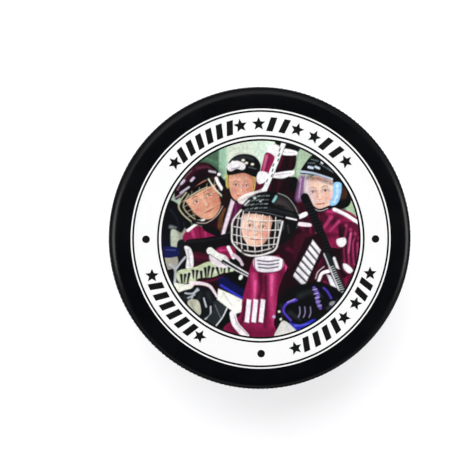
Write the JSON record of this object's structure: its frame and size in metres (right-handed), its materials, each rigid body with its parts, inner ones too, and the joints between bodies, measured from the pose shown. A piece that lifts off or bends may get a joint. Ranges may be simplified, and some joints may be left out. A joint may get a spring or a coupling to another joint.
{
  "type": "ice hockey puck",
  "caption": "Ice hockey puck of black rubber with rounded edges, a knurled grip band round its side and a printed round picture label on its upper face.",
  "frame": {"origin": "centre of the lower face, on which the puck lies", "axes": "+Z along the puck's axis, out of the labelled face; +Y is the way up of the label, +X its right"},
  "size_m": [0.0762, 0.0762, 0.0256],
  "materials": {
    "rubber": "moulded vulcanised rubber, satin faces and edges, knurled side",
    "adhesive": "pressure-sensitive adhesive, translucent",
    "white_vinyl": "smooth white vinyl film, satin gloss",
    "black_ink": "solid black print, satin gloss",
    "picture_ink": "full-colour print of an ice hockey team, satin gloss",
    "laminate": "clear protective film"
  },
  "bodies": {
    "root": {"rubber_body": "rubber", "label_adhesive": "adhesive", "label_film": "white_vinyl", "team_picture": "picture_ink", "picture_border_line": "black_ink", "band_inner_line": "black_ink", "band_outer_line": "black_ink", "left_dot": "black_ink", "right_dot": "black_ink", "bottom_dot": "black_ink", "upper_marks": "black_ink", "lower_left_marks": "black_ink", "lower_right_marks": "black_ink", "label_laminate": "laminate"}
  },
  "joints": []
}
